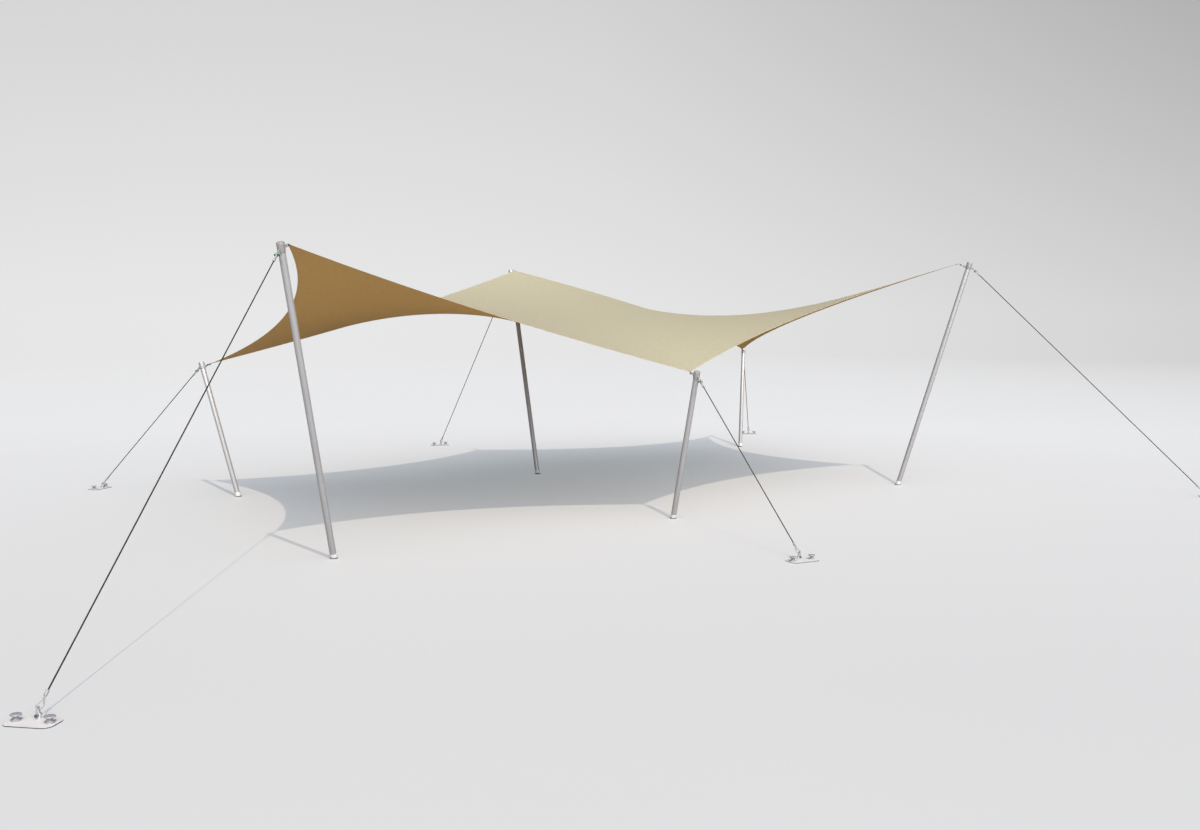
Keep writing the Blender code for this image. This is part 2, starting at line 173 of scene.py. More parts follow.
FAR_GLOW = (0.285, 0.315, 0.33, 1.0)


class Value:
    """A node socket that adds, subtracts, multiplies and divides as a number does."""

    def __init__(self, graph, socket):
        self.graph = graph
        self.socket = socket

    def also(self, name):
        """Another output of the same node."""
        return Value(self.graph, self.socket.node.outputs[name])

    def __add__(self, other):
        return self.graph.sum("ADD", self, other)

    def __radd__(self, other):
        return self.graph.sum("ADD", other, self)

    def __sub__(self, other):
        return self.graph.sum("SUBTRACT", self, other)

    def __rsub__(self, other):
        return self.graph.sum("SUBTRACT", other, self)

    def __mul__(self, other):
        return self.graph.sum("MULTIPLY", self, other)

    def __rmul__(self, other):
        return self.graph.sum("MULTIPLY", other, self)

    def __truediv__(self, other):
        return self.graph.sum("DIVIDE", self, other)

    def __rtruediv__(self, other):
        return self.graph.sum("DIVIDE", other, self)

    def __pow__(self, other):
        return self.graph.sum("POWER", self, other)

    def __neg__(self):
        return self.graph.sum("MULTIPLY", self, -1.0)


class Graph:
    """Writes nodes into a shader tree or a geometry tree."""

    def __init__(self, tree):
        self.tree = tree

    def node(self, kind, settings=None, inputs=None, output=0):
        """Adds a node, sets it up and returns one of its outputs."""
        made = self.tree.nodes.new(kind)
        for name, value in (settings or {}).items():
            setattr(made, name, value)
        for key, value in (inputs or {}).items():
            self.feed(made.inputs[key], value)
        return Value(self, made.outputs[output]) if len(made.outputs) else made

    def feed(self, socket, value):
        if isinstance(value, Value):
            self.tree.links.new(value.socket, socket)
        else:
            socket.default_value = value

    def sum(self, operation, first, second=0.0):
        return self.node("ShaderNodeMath", {"operation": operation}, {0: first, 1: second})

    def arrow(self, operation, first, second=None, output="Vector"):
        """Vector maths. SCALE takes a number as its second value, and the others take a vector."""
        inputs = {0: first}
        if operation == "SCALE":
            inputs["Scale"] = second
        elif second is not None:
            inputs[1] = second
        return self.node("ShaderNodeVectorMath", {"operation": operation}, inputs, output)

    def blend(self, share, first, second):
        """A colour between two others."""
        settings = {"data_type": "RGBA", "clamp_factor": True}
        return self.node("ShaderNodeMix", settings, {0: share, 6: first, 7: second}, 2)

    def ramp(self, value, low, high, start=0.0, end=1.0):
        """Maps a stretch of values to another, and stays in it."""
        inputs = {0: value, 1: low, 2: high, 3: start, 4: end}
        return self.node("ShaderNodeMapRange", None, inputs)

    def noise(self, place, scale, detail=3.0, roughness=0.55):
        inputs = {"Vector": place, "Scale": scale, "Detail": detail, "Roughness": roughness}
        return self.node("ShaderNodeTexNoise", None, inputs)


STEADY = {"roughness": "Roughness", "metallic": "Metallic", "sheen": "Sheen Weight",
          "sheen_roughness": "Sheen Roughness", "specular": "Specular IOR Level"}


class Finish(Graph):
    """A material with one Principled shader, whose sockets take numbers or patterns."""

    def __init__(self, name, **steady):
        self.material = bpy.data.materials.new(name)
        self.material.use_nodes = True
        super().__init__(self.material.node_tree)
        self.shader = self.tree.nodes["Principled BSDF"]
        self.output = self.tree.nodes["Material Output"]
        for key, value in steady.items():
            self.shader.inputs[STEADY[key]].default_value = value
        self.place = self.node("ShaderNodeTexCoord", output="Object")

    def set(self, name, value):
        self.feed(self.shader.inputs[name], value)

    def worn_edges(self, spread=0.5):
        """A share that is high in patches along the sharp edges of a piece."""
        edge = self.node("ShaderNodeAttribute", {"attribute_name": "edge"}, output="Fac")
        patches = self.noise(self.place, 45.0, 4.0, 0.7)
        return self.ramp(edge + spread * (patches - 0.5), 0.80, 1.02)

    def bump(self, height, strength, distance):
        inputs = {"Strength": strength, "Distance": distance, "Height": height}
        self.set("Normal", self.node("ShaderNodeBump", None, inputs))


def shade(tint, factor):
    return (*[c * factor for c in tint[:3]], 1.0)


def cloth_finish(name, tint, weight, glow):
    """Knitted stretch cloth: a fine weave on the cloth's own map, mottling and broad fading.
    Some light comes through it."""
    look = Finish(name, roughness=0.86, sheen=weight, sheen_roughness=0.5, specular=0.15)
    cloth_map = look.node("ShaderNodeUVMap", {"uv_map": "cloth"})
    parts = look.node("ShaderNodeSeparateXYZ", None, {0: cloth_map})
    wales = look.sum("SINE", parts * (2 * math.pi / 0.0024))
    courses = look.sum("SINE", parts.also("Y") * (2 * math.pi / 0.0030))
    weave = wales * courses
    mottle = look.noise(cloth_map, 55.0, 4.0, 0.7)
    blotch = look.noise(cloth_map, 21.0, 3.0, 0.6)
    slub = look.noise(cloth_map, 9.0, 3.0, 0.6)
    fade = look.noise(look.place, 0.45, 2.0, 0.5)
    tone = 0.66 + 0.32 * mottle + 0.28 * blotch + 0.06 * slub + 0.04 * fade + 0.03 * weave
    body = look.arrow("SCALE", tint[:3], tone)
    look.set("Base Color", body)
    look.set("Roughness", 0.80 + 0.12 * mottle)
    look.bump(weave * 0.5 + mottle * 1.4, 0.55, 0.0006)
    through = look.node("ShaderNodeBsdfTranslucent", None, {"Color": body})
    opaque = Value(look, look.shader.outputs[0])
    mixed = look.node("ShaderNodeMixShader", None, {0: glow, 1: opaque, 2: through})
    look.feed(look.output.inputs["Surface"], mixed)
    return look.material


def metal_finish(name, tint, roughness, metallic, grain=140.0, wear=0.10, bare=None):
    """Metal with a fine grain and faint stains, worn along its edges."""
    look = Finish(name, metallic=metallic, roughness=roughness)
    fine = look.noise(look.place, grain, 5.0, 0.6)
    stains = look.noise(look.place, 3.5, 3.0, 0.55)
    scuffs = look.ramp(look.noise(look.place, 28.0, 6.0, 0.75), 0.60, 0.72)
    worn = look.worn_edges()
    tone = 1.0 - wear + wear * fine + wear * stains
    body = look.arrow("SCALE", tint[:3], tone)
    marked = look.blend(scuffs * wear * 2.0, body, shade(tint, 1.25))
    look.set("Base Color", look.blend(worn * 0.6, marked, bare or shade(tint, 1.30)))
    look.set("Roughness", roughness - 0.06 + 0.12 * stains + 0.06 * scuffs - 0.10 * worn)
    look.bump(fine + 0.5 * scuffs - 0.5 * worn, 0.16, 0.0004)
    return look.material


def pole_finish(name, tint):
    """Satin aluminium tube: fine draw lines along it, faint cloudy stains and a few rubs."""
    look = Finish(name, metallic=0.40, roughness=0.45)
    lines = look.node("ShaderNodeAttribute", {"attribute_name": "round"}, output="Fac")
    along = look.node("ShaderNodeAttribute", {"attribute_name": "along"}, output="Fac")
    close_set = look.node("ShaderNodeCombineXYZ", None, {0: lines * 260.0, 1: along * 1.5})
    wide_set = look.node("ShaderNodeCombineXYZ", None, {0: lines * 44.0, 1: along * 0.9})
    fine = look.noise(close_set, 1.0, 4.0, 0.6)
    broad = look.noise(wide_set, 1.0, 3.0, 0.6)
    stains = look.noise(look.place, 4.0, 4.0, 0.6)
    marks = look.ramp(look.noise(look.place, 22.0, 6.0, 0.8), 0.62, 0.74)
    tone = 0.83 + 0.10 * fine + 0.12 * broad + 0.12 * stains
    body = look.arrow("SCALE", tint[:3], tone)
    look.set("Base Color", look.blend(marks * 0.35, body, shade(tint, 0.72)))
    look.set("Roughness", 0.34 + 0.12 * stains + 0.10 * fine)
    look.bump(fine + 0.6 * broad + 0.4 * marks, 0.14, 0.0004)
    return look.material


def plastic_finish(name, tint, roughness, dirt):
    """Moulded plastic with a fine pebble, rubbed along its edges and soiled near the ground."""
    look = Finish(name, roughness=roughness, specular=0.4)
    pebble = look.noise(look.place, 900.0, 2.0, 0.5)
    patches = look.noise(look.place, 30.0, 5.0, 0.65)
    height = look.node("ShaderNodeSeparateXYZ", None, {0: look.place}).also("Z")
    low = look.ramp(height, 0.0, 0.05, 1.0, 0.0)
    soil = look.ramp(patches, 0.40, 0.72) * (0.12 + 0.88 * low) * dirt
    worn = look.worn_edges()
    body = look.blend(worn * 0.5, tint, shade(tint, 0.78))
    look.set("Base Color", look.blend(soil, body, shade(tint, 0.45)))
    look.set("Roughness", roughness + 0.18 * soil + 0.04 * patches - 0.10 * worn)
    look.bump(pebble, 0.14, 0.0003)
    return look.material


def rope_finish(name, tint):
    """Polyester strands: fine yarn lines, and a fuzzy sheen."""
    look = Finish(name, roughness=0.72, sheen=0.05, specular=0.2)
    yarn = look.noise(look.place, 700.0, 3.0, 0.6)
    patches = look.noise(look.place, 12.0, 3.0, 0.5)
    tone = 0.78 + 0.30 * yarn + 0.12 * patches
    look.set("Base Color", look.arrow("SCALE", tint[:3], tone))
    look.set("Roughness", 0.66 + 0.14 * yarn)
    look.bump(yarn, 0.35, 0.0004)
    return look.material


def geometry_graph(name, numbers):
    """A geometry tree with a Geometry input and the named inputs, and the outputs of its input node."""
    tree = bpy.data.node_groups.new(name, "GeometryNodeTree")
    tree.interface.new_socket("Geometry", in_out="INPUT", socket_type="NodeSocketGeometry")
    for label, kind in numbers.items():
        tree.interface.new_socket(label, in_out="INPUT", socket_type="NodeSocket" + kind)
    tree.interface.new_socket("Geometry", in_out="OUTPUT", socket_type="NodeSocketGeometry")
    graph = Graph(tree)
    given = tree.nodes.new("NodeGroupInput")
    return graph, {socket.name: Value(graph, socket) for socket in given.outputs if socket.name}


def close_graph(graph, geometry, look):
    """Ends a geometry tree: real geometry with its material."""
    real = graph.node("GeometryNodeRealizeInstances", None, {0: geometry})
    dressed = graph.node("GeometryNodeSetMaterial", None, {"Geometry": real, "Material": look})
    graph.node("NodeGroupOutput", None, {0: dressed})
    return graph.tree


def helper(data):
    """An object for work on a mesh or a curve. It goes when the work is done."""
    made = bpy.data.objects.new("helper", data)
    bpy.context.scene.collection.objects.link(made)
    return made


def settled_mesh(worker):
    """The plain mesh that a helper object has after its modifiers. The object goes."""
    bpy.context.view_layer.update()
    made = bpy.data.meshes.new_from_object(worker.evaluated_get(bpy.context.evaluated_depsgraph_get()))
    bpy.data.objects.remove(worker, do_unlink=True)
    return made


def grown(tree, mesh, **values):
    """The plain mesh that a geometry tree makes of a mesh."""
    worker = helper(mesh)
    modifier = worker.modifiers.new("Grow", "NODES")
    modifier.node_group = tree
    for item in tree.interface.items_tree:
        if item.in_out == "INPUT" and item.name.lower().replace(" ", "_") in values:
            modifier[item.identifier] = values[item.name.lower().replace(" ", "_")]
    return settled_mesh(worker)


def taut_cloth_tree():
    """Relaxes a grid of cloth as a taut net: each free point moves to the mean of its four
    neighbours, weighted by the pull along and across."""
    graph, given = geometry_graph("taut cloth", {
        "Steps": "Int", "Row points": "Int", "Pull along": "Float", "Look": "Material"})
    start = graph.tree.nodes.new("GeometryNodeRepeatInput")
    end = graph.tree.nodes.new("GeometryNodeRepeatOutput")
    start.pair_with_output(end)
    graph.feed(start.inputs["Iterations"], given["Steps"])
    graph.feed(start.inputs["Geometry"], given["Geometry"])
    number = graph.node("GeometryNodeInputIndex")
    place = graph.node("GeometryNodeInputPosition")

    def neighbour(offset):
        settings = {"data_type": "FLOAT_VECTOR", "domain": "POINT"}
        return graph.node("GeometryNodeFieldAtIndex", settings, {"Index": number + offset, "Value": place})

    along = graph.arrow("ADD", neighbour(given["Row points"]), neighbour(-given["Row points"]))
    across = graph.arrow("ADD", neighbour(1.0), neighbour(-1.0))
    pulled = graph.arrow("ADD", graph.arrow("SCALE", along, given["Pull along"]), across)
    mean = graph.arrow("SCALE", pulled, 1.0 / (2.0 * given["Pull along"] + 2.0))
    free = graph.node("GeometryNodeInputNamedAttribute", {"data_type": "FLOAT"}, {"Name": "free"})
    inputs = {"Geometry": Value(graph, start.outputs["Geometry"]), "Selection": free, "Position": mean}
    moved = graph.node("GeometryNodeSetPosition", None, inputs)
    graph.feed(end.inputs["Geometry"], moved)
    return close_graph(graph, Value(graph, end.outputs["Geometry"]), given["Look"])


def laid_rope_tree():
    """Strands laid round a path as in a rope."""
    graph, given = geometry_graph("laid rope", {
        "Strands": "Int", "Strand radius": "Float", "Centre radius": "Float",
        "Lay": "Float", "Step": "Float", "Look": "Material"})
    path = graph.node("GeometryNodeMeshToCurve", None, {"Mesh": given["Geometry"]})
    inputs = {"Curve": path, "Length": given["Step"]}
    fine = graph.node("GeometryNodeResampleCurve", {"mode": "LENGTH"}, inputs)
    inputs = {"Geometry": fine, "Amount": given["Strands"]}
    copies = graph.node("GeometryNodeDuplicateElements", {"domain": "SPLINE"}, inputs)
    run = graph.node("GeometryNodeSplineParameter", output="Length")
    turn = 2 * math.pi * (run / given["Lay"] + copies.also("Duplicate Index") / given["Strands"])
    aside = graph.node("GeometryNodeInputNormal")
    tangent = graph.node("GeometryNodeInputTangent")
    over = graph.arrow("CROSS_PRODUCT", tangent, aside)
    reach = given["Centre radius"]
    offset = graph.arrow("ADD", graph.arrow("SCALE", aside, graph.sum("COSINE", turn) * reach),
                         graph.arrow("SCALE", over, graph.sum("SINE", turn) * reach))
    laid = graph.node("GeometryNodeSetPosition", None, {"Geometry": copies, "Offset": offset})
    inputs = {"Resolution": 6, "Radius": given["Strand radius"]}
    ring = graph.node("GeometryNodeCurvePrimitiveCircle", None, inputs)
    inputs = {"Curve": laid, "Profile Curve": ring, "Fill Caps": True}
    return close_graph(graph, graph.node("GeometryNodeCurveToMesh", None, inputs), given["Look"])


def bead_row_tree():
    """Small beads in a row along a path, for stitches and for the ripples of a weld. The path
    carries the direction that its beads face."""
    graph, given = geometry_graph("bead row", {
        "Pitch": "Float", "Bead size": "Vector", "Look": "Material"})
    path = graph.node("GeometryNodeMeshToCurve", None, {"Mesh": given["Geometry"]})
    inputs = {"Curve": path, "Length": given["Pitch"]}
    spots = graph.node("GeometryNodeResampleCurve", {"mode": "LENGTH"}, inputs)
    settings = {"data_type": "FLOAT_VECTOR"}
    facing = graph.node("GeometryNodeInputNamedAttribute", settings, {"Name": "facing"})
    tangent = graph.node("GeometryNodeInputTangent")
    turn = graph.node("FunctionNodeAxesToRotation", {"primary_axis": "X", "secondary_axis": "Z"},
                      {"Primary Axis": tangent, "Secondary Axis": facing})
    ball = graph.node("GeometryNodeMeshUVSphere", None, {"Segments": 5, "Rings": 4, "Radius": 0.5})
    inputs = {"Points": spots, "Instance": ball, "Rotation": turn, "Scale": given["Bead size"]}
    return close_graph(graph, graph.node("GeometryNodeInstanceOnPoints", None, inputs), given["Look"])


def path_mesh(paths, facings=None):
    """Polylines as one mesh of edges. Each point can carry the direction that it faces."""
    mesh = bpy.data.meshes.new("path")
    points = [tuple(point) for path in paths for point in path]
    edges = []
    first = 0
    for path in paths:
        edges += [(first + i, first + i + 1) for i in range(len(path) - 1)]
        first += len(path)
    mesh.from_pydata(points, edges, [])
    if facings is not None:
        values = np.array([facing for row in facings for facing in row], np.float32)
        mesh.attributes.new("facing", "FLOAT_VECTOR", "POINT").data.foreach_set("vector", values.ravel())
    return mesh


def arc(centre, radius, start, end, steps):
    """Points along an arc, with angles in degrees."""
    angles = np.radians(np.linspace(start, end, steps + 1))
    return [(centre[0] + radius * math.cos(a), centre[1] + radius * math.sin(a)) for a in angles]


def softened(points, radius, closed=False):
    """A flat outline with its corners rounded off."""
    made = []
    last = len(points) - 1
    for i, (x, y) in enumerate(points):
        if not closed and i in (0, last):
            made.append((x, y))
            continue
        corner = np.array((x, y))
        before = np.array(points[i - 1]) - corner
        after = np.array(points[(i + 1) % len(points)]) - corner
        cut = min(radius, 0.45 * np.linalg.norm(before), 0.45 * np.linalg.norm(after))
        start = corner + before / np.linalg.norm(before) * cut
        end = corner + after / np.linalg.norm(after) * cut
        for share in (0.0, 0.33, 0.67, 1.0):
            bend = (1 - share) ** 2 * start + 2 * share * (1 - share) * corner + share ** 2 * end
            made.append(tuple(bend))
    return made


def lofted(rings, closed=False, caps=False):
    """A mesh through rings of points, each counter-clockwise about the direction of travel."""
    rings = np.asarray(rings, float)
    count, sides = rings.shape[:2]
    mesh = bpy.data.meshes.new("loft")
    faces = []
    for i in range(count if closed else count - 1):
        here = i * sides
        there = (i + 1) % count * sides
        for j in range(sides):
            k = (j + 1) % sides
            faces.append((here + j, here + k, there + k, there + j))
    if caps:
        faces.append(tuple(range(sides - 1, -1, -1)))
        faces.append(tuple(range((count - 1) * sides, count * sides)))
    mesh.from_pydata([tuple(point) for point in rings.reshape(-1, 3)], [], faces)
    return mesh


def turned(profile, sides=ROUND_SIDES, closed=False):
    """A profile of (radius, height) points, up its outer side, turned about Z."""
    angles = np.linspace(0, 2 * math.pi, sides, endpoint=False)
    rings = [[(radius * math.cos(a), radius * math.sin(a), height) for a in angles]
             for radius, height in profile]
    return lofted(rings, closed)


def round_bar(radius, low, high, edge, sides=ROUND_SIDES):
    """A round bar along Z with rounded rims."""
    return turned(softened([(0.0, low), (radius, low), (radius, high), (0.0, high)], edge), sides)


def bent_rod(points, radius, sides=ROD_SIDES, closed=False):
    """A round rod along a path, with its frame carried along without twist."""
    points = np.asarray(points, float)
    count = len(points)
    ahead = np.roll(points, -1, 0) - points
    behind = points - np.roll(points, 1, 0)
    if not closed:
        ahead[-1] = behind[-1]
        behind[0] = ahead[0]
    tangents = ahead / np.linalg.norm(ahead, axis=1)[:, None]
    tangents += behind / np.linalg.norm(behind, axis=1)[:, None]
    tangents /= np.linalg.norm(tangents, axis=1)[:, None]
    side = np.cross(tangents[0], (0.31, 0.57, 0.76))
    rings = []
    for i in range(count):
        side = side - tangents[i] * side.dot(tangents[i])
        side /= np.linalg.norm(side)
        over = np.cross(tangents[i], side)
        angles = np.linspace(0, 2 * math.pi, sides, endpoint=False)[:, None]
        rings.append(points[i] + radius * (np.cos(angles) * side + np.sin(angles) * over))
    return lofted(rings, closed, caps=not closed)


def flat_piece(outlines, thickness, edge):
    """A flat piece in the XY plane, centred on z = 0, with rounded edges."""
    curve = bpy.data.curves.new("outline", "CURVE")
    curve.dimensions = "2D"
    curve.fill_mode = "BOTH"
    curve.extrude = thickness / 2 - edge
    curve.bevel_depth = edge
    curve.bevel_resolution = 2
    curve.offset = -edge
    for outline in outlines:
        spline = curve.splines.new("POLY")
        spline.points.add(len(outline) - 1)
        for point, (x, y) in zip(spline.points, outline):
            point.co = (x, y, 0.0, 1.0)
        spline.use_cyclic_u = True
    return settled_mesh(helper(curve))


def piece(name, parts, looks, node=None, sharp=35.0):
    """One finished piece from (mesh, place, look number) parts. It rides on the tent."""
    work = bmesh.new()
    for mesh, place, number in parts:
        verts = len(work.verts)
        faces = len(work.faces)
        work.from_mesh(mesh)
        work.verts.ensure_lookup_table()
        work.faces.ensure_lookup_table()
        bmesh.ops.transform(work, matrix=place, verts=work.verts[verts:])
        for face in work.faces[faces:]:
            face.material_index = number
    bmesh.ops.remove_doubles(work, verts=work.verts, dist=1e-6)
    bmesh.ops.dissolve_degenerate(work, edges=work.edges, dist=1e-7)
    bmesh.ops.recalc_face_normals(work, faces=work.faces)
    edge = work.verts.layers.float.new("edge")
    for vertex in work.verts:
        bend = max((side.calc_face_angle_signed(0.0) for side in vertex.link_edges), default=0.0)
        vertex[edge] = min(max((bend - 0.42) / 0.08, 0.0), 1.0)
    mesh = bpy.data.meshes.new(name)
    work.to_mesh(mesh)
    work.free()
    return settle(name, mesh, looks, node, sharp)


def settle(name, mesh, looks, node=None, sharp=35.0):
    """Puts a finished mesh in the scene as a piece of the tent."""
    for look in looks[len(mesh.materials):]:
        mesh.materials.append(look)
    mesh.shade_smooth()
    mesh.set_sharp_from_angle(angle=math.radians(sharp))
    made = bpy.data.objects.new(name, mesh)
    bpy.context.scene.collection.objects.link(made)
    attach(made, "root")
    if node:
        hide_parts(node)
    return made


class Corner:
    """Where the pieces of one corner are. Its own frame has X outwards and Z up from the foot."""

    def __init__(self, site, name, length, x, y, heading, lean, guy_reach):
        self.name = name
        self.length = length
        self.lean = math.radians(lean)
        turn = Matrix.Rotation(math.radians(heading), 4, "Z")
        self.ground = Matrix.Translation(site + Vector((x, y, 0))) @ turn
        self.pole = self.ground @ Matrix.Rotation(self.lean, 4, "Y")
        up = Vector((math.sin(self.lean), 0, math.cos(self.lean)))
        out = Vector((math.cos(self.lean), 0, -math.sin(self.lean)))
        guy_lug = up * (length - LUG_DROP) + out * LUG_REACH
        bow_centre = Vector((guy_reach, 0, EYE_HEIGHT + PIN_IN_HOLE + LEG_LENGTH))
        guy = bow_centre - guy_lug
        self.guy_span = guy.length
        along_guy = Matrix.Rotation(-math.atan2(guy.x, -guy.z), 4, "Y")
        self.rope = self.ground @ Matrix.Translation(bow_centre) @ along_guy
        guy_pin = guy_lug + guy.normalized() * PIN_SPAN
        self.guy_pin = self.ground @ Matrix.Translation(guy_pin) @ along_guy
        anchor_pin = bow_centre - Vector((0, 0, LEG_LENGTH))
        across = Matrix.Rotation(math.pi / 2, 4, "Z")
        self.anchor_pin = self.ground @ Matrix.Translation(anchor_pin) @ across
        self.anchor = self.ground @ Matrix.Translation((guy_reach, 0, 0))
        self.head = self.pole @ Matrix.Translation((0, 0, length))
        canopy_lug = Vector((-LUG_REACH, 0, length - LUG_DROP))
        canopy_line = Vector((-math.cos(TIP_ANGLE), 0, math.sin(TIP_ANGLE)))
        pin = Matrix.Translation(canopy_lug + canopy_line * PIN_SPAN)
        self.canopy_pin = self.pole @ pin @ Matrix.Rotation(math.pi / 2 + TIP_ANGLE, 4, "Y")
        self.loop = self.pole @ pin @ Matrix.Rotation(math.pi + TIP_ANGLE, 4, "Y")
        self.tip = self.pole @ (canopy_lug + canopy_line * TIP_SPAN)


def edge_points(tips, number, steps):
    """Points along one hollow edge of the canopy, between two of its tips."""
    start = tips[number]
    end = tips[(number + 1) % len(tips)]
    along = end - start
    inward = np.array([-along[1], along[0], 0.0]) / math.hypot(along[0], along[1])
    share = np.linspace(0.0, 1.0, steps + 1)[:, None]
    bow = 4 * share * (1 - share)
    lift = np.array([0.0, 0.0, EDGE_LIFTS[number]])
    return start + share * along + bow * (EDGE_HOLLOWS[number] * inward + lift)


def slack_grid(tips):
    """The canopy's grid with its edges in place and straight rows across between them."""
    half = CLOTH_COLUMNS // 2
    grid = np.zeros((CLOTH_COLUMNS + 1, CLOTH_ROWS + 1, 3))
    grid[:half + 1, 0] = edge_points(tips, 0, half)
    grid[half:, 0] = edge_points(tips, 1, half)
    grid[-1, :] = edge_points(tips, 2, CLOTH_ROWS)
    grid[half:, -1] = edge_points(tips, 3, half)[::-1]
    grid[:half + 1, -1] = edge_points(tips, 4, half)[::-1]
    grid[0, :] = edge_points(tips, 5, CLOTH_ROWS)[::-1]
    across = np.linspace(0.0, 1.0, CLOTH_ROWS + 1)[None, 1:-1, None]
    grid[1:-1, 1:-1] = (1 - across) * grid[1:-1, :1] + across * grid[1:-1, -1:]
    return grid


def cloth_sheet(grid):
    """The grid as a mesh, with its free points marked."""
    columns, rows = grid.shape[:2]
    faces = [(i * rows + j, (i + 1) * rows + j, (i + 1) * rows + j + 1, i * rows + j + 1)
             for i in range(columns - 1) for j in range(rows - 1)]
    mesh = bpy.data.meshes.new("sheet")
    mesh.from_pydata([tuple(point) for point in grid.reshape(-1, 3)], [], faces)
    free = np.zeros((columns, rows), np.float32)
    free[1:-1, 1:-1] = 1.0
    mesh.attributes.new("free", "FLOAT", "POINT").data.foreach_set("value", free.ravel())
    return mesh


def map_cloth(mesh, spots):
    """Gives the cloth its map in metres, from one (along, across) spot for each vertex."""
    corners = np.zeros(len(mesh.loops), np.int32)
    mesh.loops.foreach_get("vertex_index", corners)
    layer = mesh.uv_layers.new(name="cloth")
    layer.uv.foreach_set("vector", np.asarray(spots, np.float32)[corners].ravel())


def build_canopy(corners, looks):
    """The taut sheet, with its top and its underside in separate colours. The underside's warmer, stronger
    colour is partly the cloth's own and partly painted light coming through the cloth.
    """
    grid = slack_grid([np.array(corner.tip) for corner in corners])
    columns, rows = grid.shape[:2]
    mesh = grown(taut_cloth_tree(), cloth_sheet(grid), steps=CLOTH_STEPS, row_points=rows,
                 pull_along=PULL_ALONG, look=looks["cloth_top"])
    places = np.zeros(len(mesh.vertices) * 3, np.float32)
    mesh.vertices.foreach_get("co", places)
    net = places.reshape(columns, rows, 3).astype(float)
    spots = np.zeros((columns, rows, 2))
    along = np.linalg.norm(np.diff(net, axis=0), axis=2).mean(1)
    across = np.linalg.norm(np.diff(net, axis=1), axis=2).mean(0)
    spots[1:, :, 0] = np.cumsum(along)[:, None]
    spots[:, 1:, 1] = np.cumsum(across)[None, :]
    map_cloth(mesh, spots.reshape(-1, 2))
    worker = helper(mesh)
    mesh.materials.append(looks["cloth_under"])
    shell = worker.modifiers.new("Thickness", "SOLIDIFY")
    shell.thickness = CLOTH_THICKNESS
    shell.offset = 0.0
    shell.material_offset = 1
    faces = [looks["cloth_top"], looks["cloth_under"]]
    cloth = settle("canopy_cloth", settled_mesh(worker), faces, "canopy", 60.0)
    return cloth, net


def cloth_ups(net):
    """The unit direction up from the cloth at each point of its grid."""
    along = np.gradient(net, axis=0)
    across = np.gradient(net, axis=1)
    up = np.cross(along, across)
    return up / np.linalg.norm(up, axis=2)[:, :, None]


def canopy_edges(net):
    """The six edges as grid numbers, each from one tip to the next, in order round the cloth."""
    columns, rows = net.shape[:2]
    half = (columns - 1) // 2
    last = columns - 1
    top = rows - 1
    return [
        [(i, 0) for i in range(half + 1)],
        [(i, 0) for i in range(half, last + 1)],
        [(last, j) for j in range(top + 1)],
        [(i, top) for i in range(last, half - 1, -1)],
        [(i, top) for i in range(half, -1, -1)],
        [(0, j) for j in range(top, -1, -1)],
    ]


def hem_lines(net, ups):
    """For each edge: its points, the direction into the cloth there, and the cloth's up."""
    lines = []
    for edge in canopy_edges(net):
        points = np.array([net[spot] for spot in edge])
        up = np.array([ups[spot] for spot in edge[1:-1]])
        up = np.concatenate([up[:1], up, up[-1:]])
        tangent = np.gradient(points, axis=0)
        inward = np.cross(up, tangent)
        inward /= np.linalg.norm(inward, axis=1)[:, None]
        lines.append((points, inward, up))
    return lines


def run_along(points):
    """How far along a line each of its points is."""
    return np.concatenate([[0.0], np.cumsum(np.linalg.norm(np.diff(points, axis=0), axis=1))])


def hem_width(points):
    """The hem's width at each point: full along the edge, and narrow at its two tips."""
    run = run_along(points)
    near = np.minimum(run, run[-1] - run)
    return np.clip(near * HEM_MITRE, 0.004, HEM_WIDTH)


def refined(points, inward, up):
    """Adds points close to both tips of an edge, where the hem narrows."""
    marks = np.arange(len(points), dtype=float)
    first = np.linalg.norm(points[1] - points[0])
    last = np.linalg.norm(points[-1] - points[-2])
    reach = HEM_WIDTH / HEM_MITRE
    extra = [reach / first, len(points) - 1 - reach / last]
    wanted = np.sort(np.concatenate([marks, extra]))
    return [np.stack([np.interp(wanted, marks, rows[:, axis]) for axis in range(3)], 1)
            for rows in (points, inward, up)]


def build_hem(net, ups, looks):
    """A folded hem round the cloth, with a row of stitches on either face."""
    parts = []
    paths = []
    facings = []
    half = CLOTH_THICKNESS / 2
    for points, inward, up in (refined(*line) for line in hem_lines(net, ups)):
        width = hem_width(points)[:, None]
        rings = []
        section = ((1.0, half + 0.0001), (0.97, half + HEM_RISE), (0.04, half + HEM_RISE),
                   (-0.04, 0.0005), (-0.04, -0.0005), (0.04, -half - HEM_RISE),
                   (0.97, -half - HEM_RISE), (1.0, -half - 0.0001))
        for inner, rise in section:
            rings.append(points + inward * width * inner + up * rise)
        strip = lofted(np.stack(rings, 1), caps=True)
        map_cloth(strip, [(along, inner * HEM_WIDTH)
                          for along in run_along(points) for inner, rise in section])
        parts.append((strip, Matrix(), 0))
        for side in (1, -1):
            paths.append(points + inward * width * 0.82 + up * side * (half + HEM_RISE))
            facings.append(up * side)
    hem = piece("canopy_hem", parts, [looks["hem_top"], looks["hem_under"]])
    work = hem.data
    for face in work.polygons:
        face.material_index = 0 if face.normal.z > 0 else 1
    rows = grown(looks["bead_row"], path_mesh(paths, facings), pitch=STITCH_PITCH,
                 bead_size=(0.0055, 0.0014, 0.0012), look=looks["thread"])
    stitches = settle("canopy_stitches", rows, [looks["thread"]])
    return [hem, stitches]


